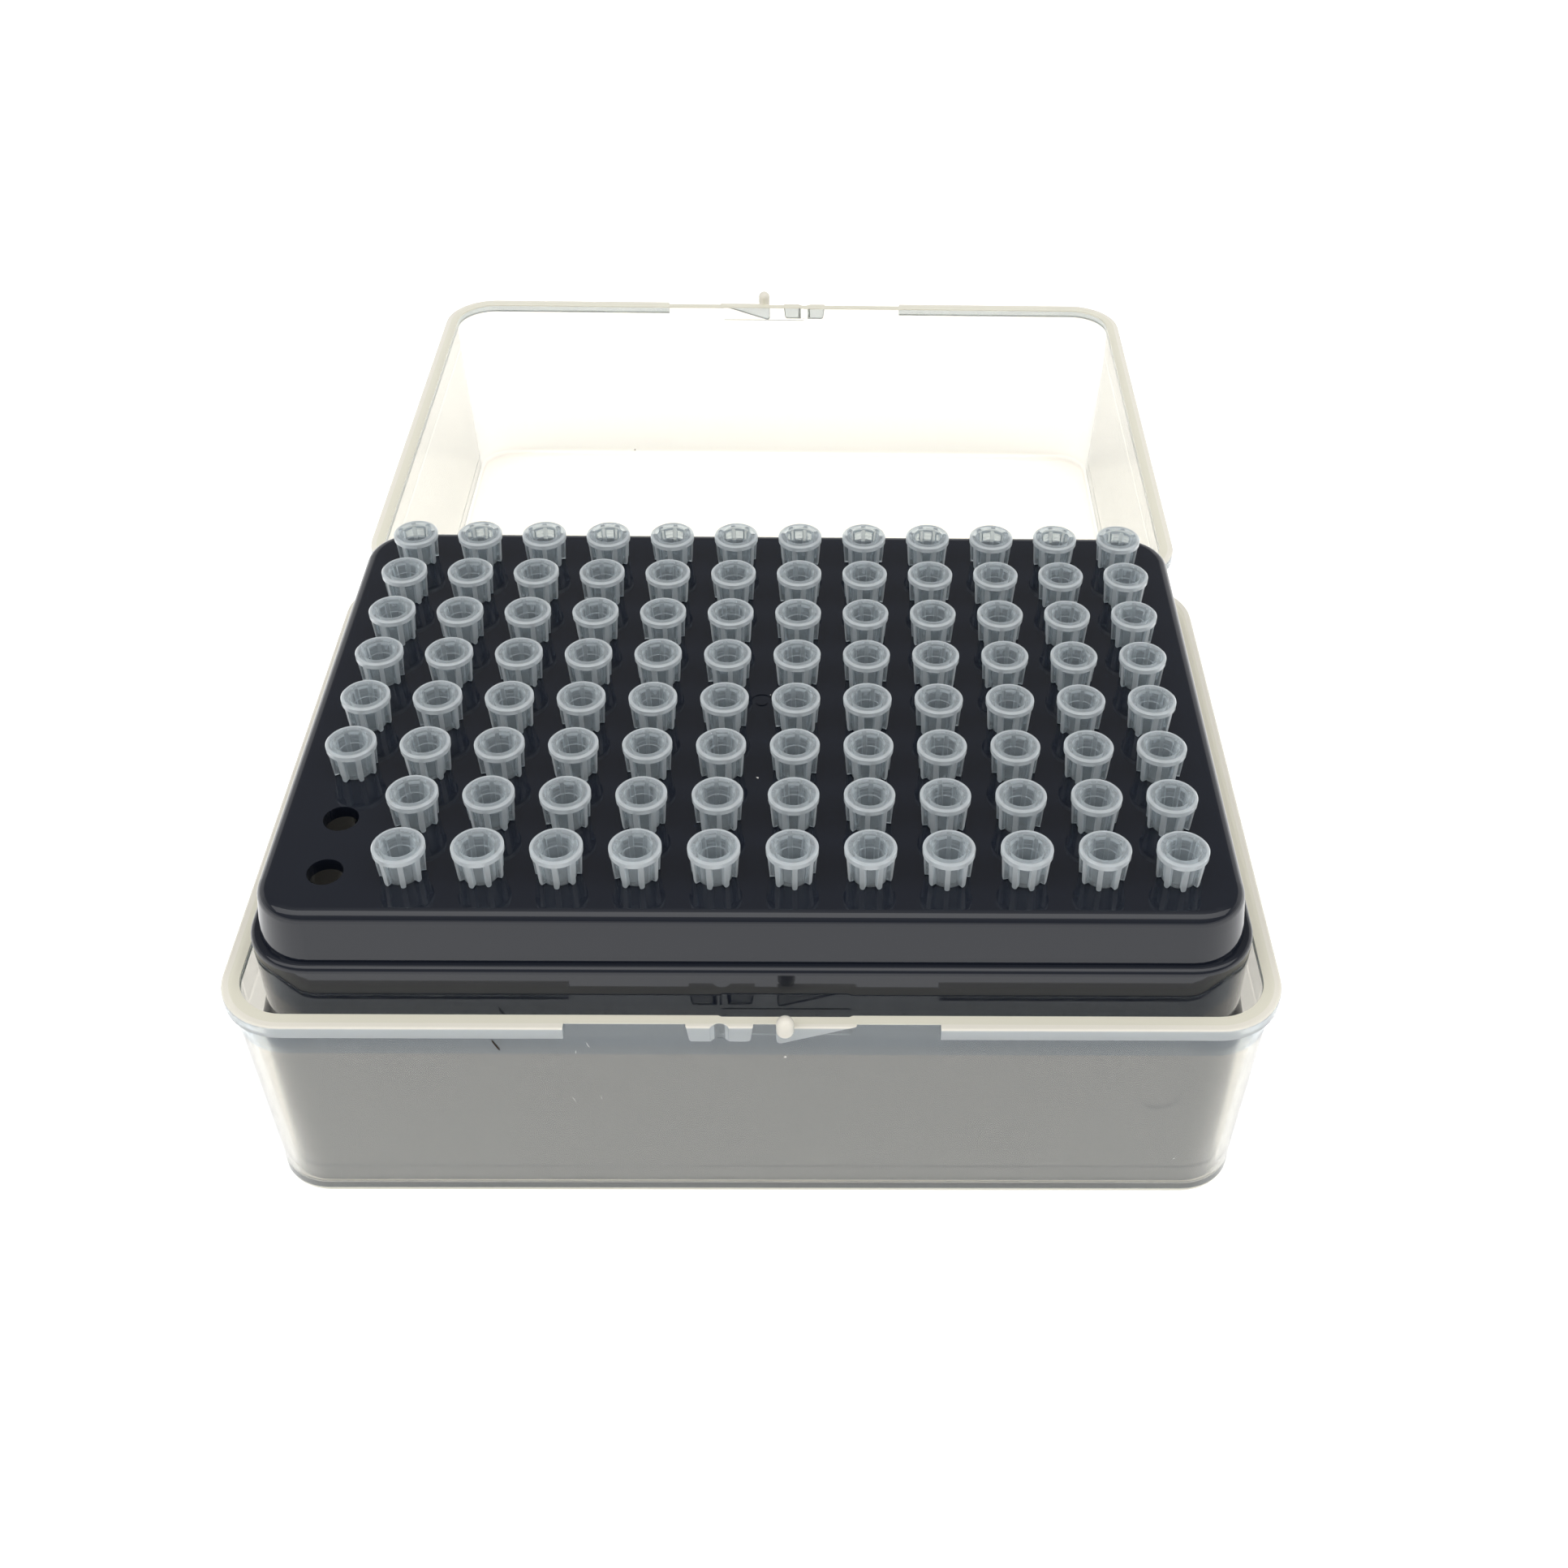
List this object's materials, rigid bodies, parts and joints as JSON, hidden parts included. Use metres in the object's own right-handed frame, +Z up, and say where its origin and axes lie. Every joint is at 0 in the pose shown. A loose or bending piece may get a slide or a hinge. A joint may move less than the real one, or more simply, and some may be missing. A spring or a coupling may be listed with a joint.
{
  "type": "box of pipette tips",
  "caption": "Hinged translucent plastic box, lying open, with a black rack of clear fluted pipette tips standing in its base.",
  "frame": {"origin": "on the table under the centre of the base, which is also the centre of the tip grid", "axes": "+X along the hinge, from the pin side to the knuckle side of the base; +Y from the base towards the lid; +Z up"},
  "size_m": [0.1254, 0.181, 0.05],
  "materials": {
    "box_natural": "natural polypropylene, satin and milky translucent",
    "rack_black": "black polypropylene with a polished deck and satin sides",
    "tip_clear": "clear polypropylene, polished"
  },
  "bodies": {
    "base": {"box_base": "box_natural", "tip_rack": "rack_black", "tips_01_ab": "tip_clear", "tips_01_cd": "tip_clear", "tips_01_ef": "tip_clear", "tips_02_ab": "tip_clear", "tips_02_cd": "tip_clear", "tips_02_ef": "tip_clear", "tips_02_gh": "tip_clear", "tips_03_ab": "tip_clear", "tips_03_cd": "tip_clear", "tips_03_ef": "tip_clear", "tips_03_gh": "tip_clear", "tips_04_ab": "tip_clear", "tips_04_cd": "tip_clear", "tips_04_ef": "tip_clear", "tips_04_gh": "tip_clear", "tips_05_ab": "tip_clear", "tips_05_cd": "tip_clear", "tips_05_ef": "tip_clear", "tips_05_gh": "tip_clear", "tips_06_ab": "tip_clear", "tips_06_cd": "tip_clear", "tips_06_ef": "tip_clear", "tips_06_gh": "tip_clear", "tips_07_ab": "tip_clear", "tips_07_cd": "tip_clear", "tips_07_ef": "tip_clear", "tips_07_gh": "tip_clear", "tips_08_ab": "tip_clear", "tips_08_cd": "tip_clear", "tips_08_ef": "tip_clear", "tips_08_gh": "tip_clear", "tips_09_ab": "tip_clear", "tips_09_cd": "tip_clear", "tips_09_ef": "tip_clear", "tips_09_gh": "tip_clear", "tips_10_ab": "tip_clear", "tips_10_cd": "tip_clear", "tips_10_ef": "tip_clear", "tips_10_gh": "tip_clear", "tips_11_ab": "tip_clear", "tips_11_cd": "tip_clear", "tips_11_ef": "tip_clear", "tips_11_gh": "tip_clear", "tips_12_ab": "tip_clear", "tips_12_cd": "tip_clear", "tips_12_ef": "tip_clear", "tips_12_gh": "tip_clear"},
    "lid": {"box_lid": "box_natural"}
  },
  "joints": [
    {"name": "lid_hinge", "type": "hinge", "parent": "base", "child": "lid", "pos_m": [0, 0.0452, 0.0331], "axis": [1, 0, 0], "range_deg": [0, 180]}
  ]
}
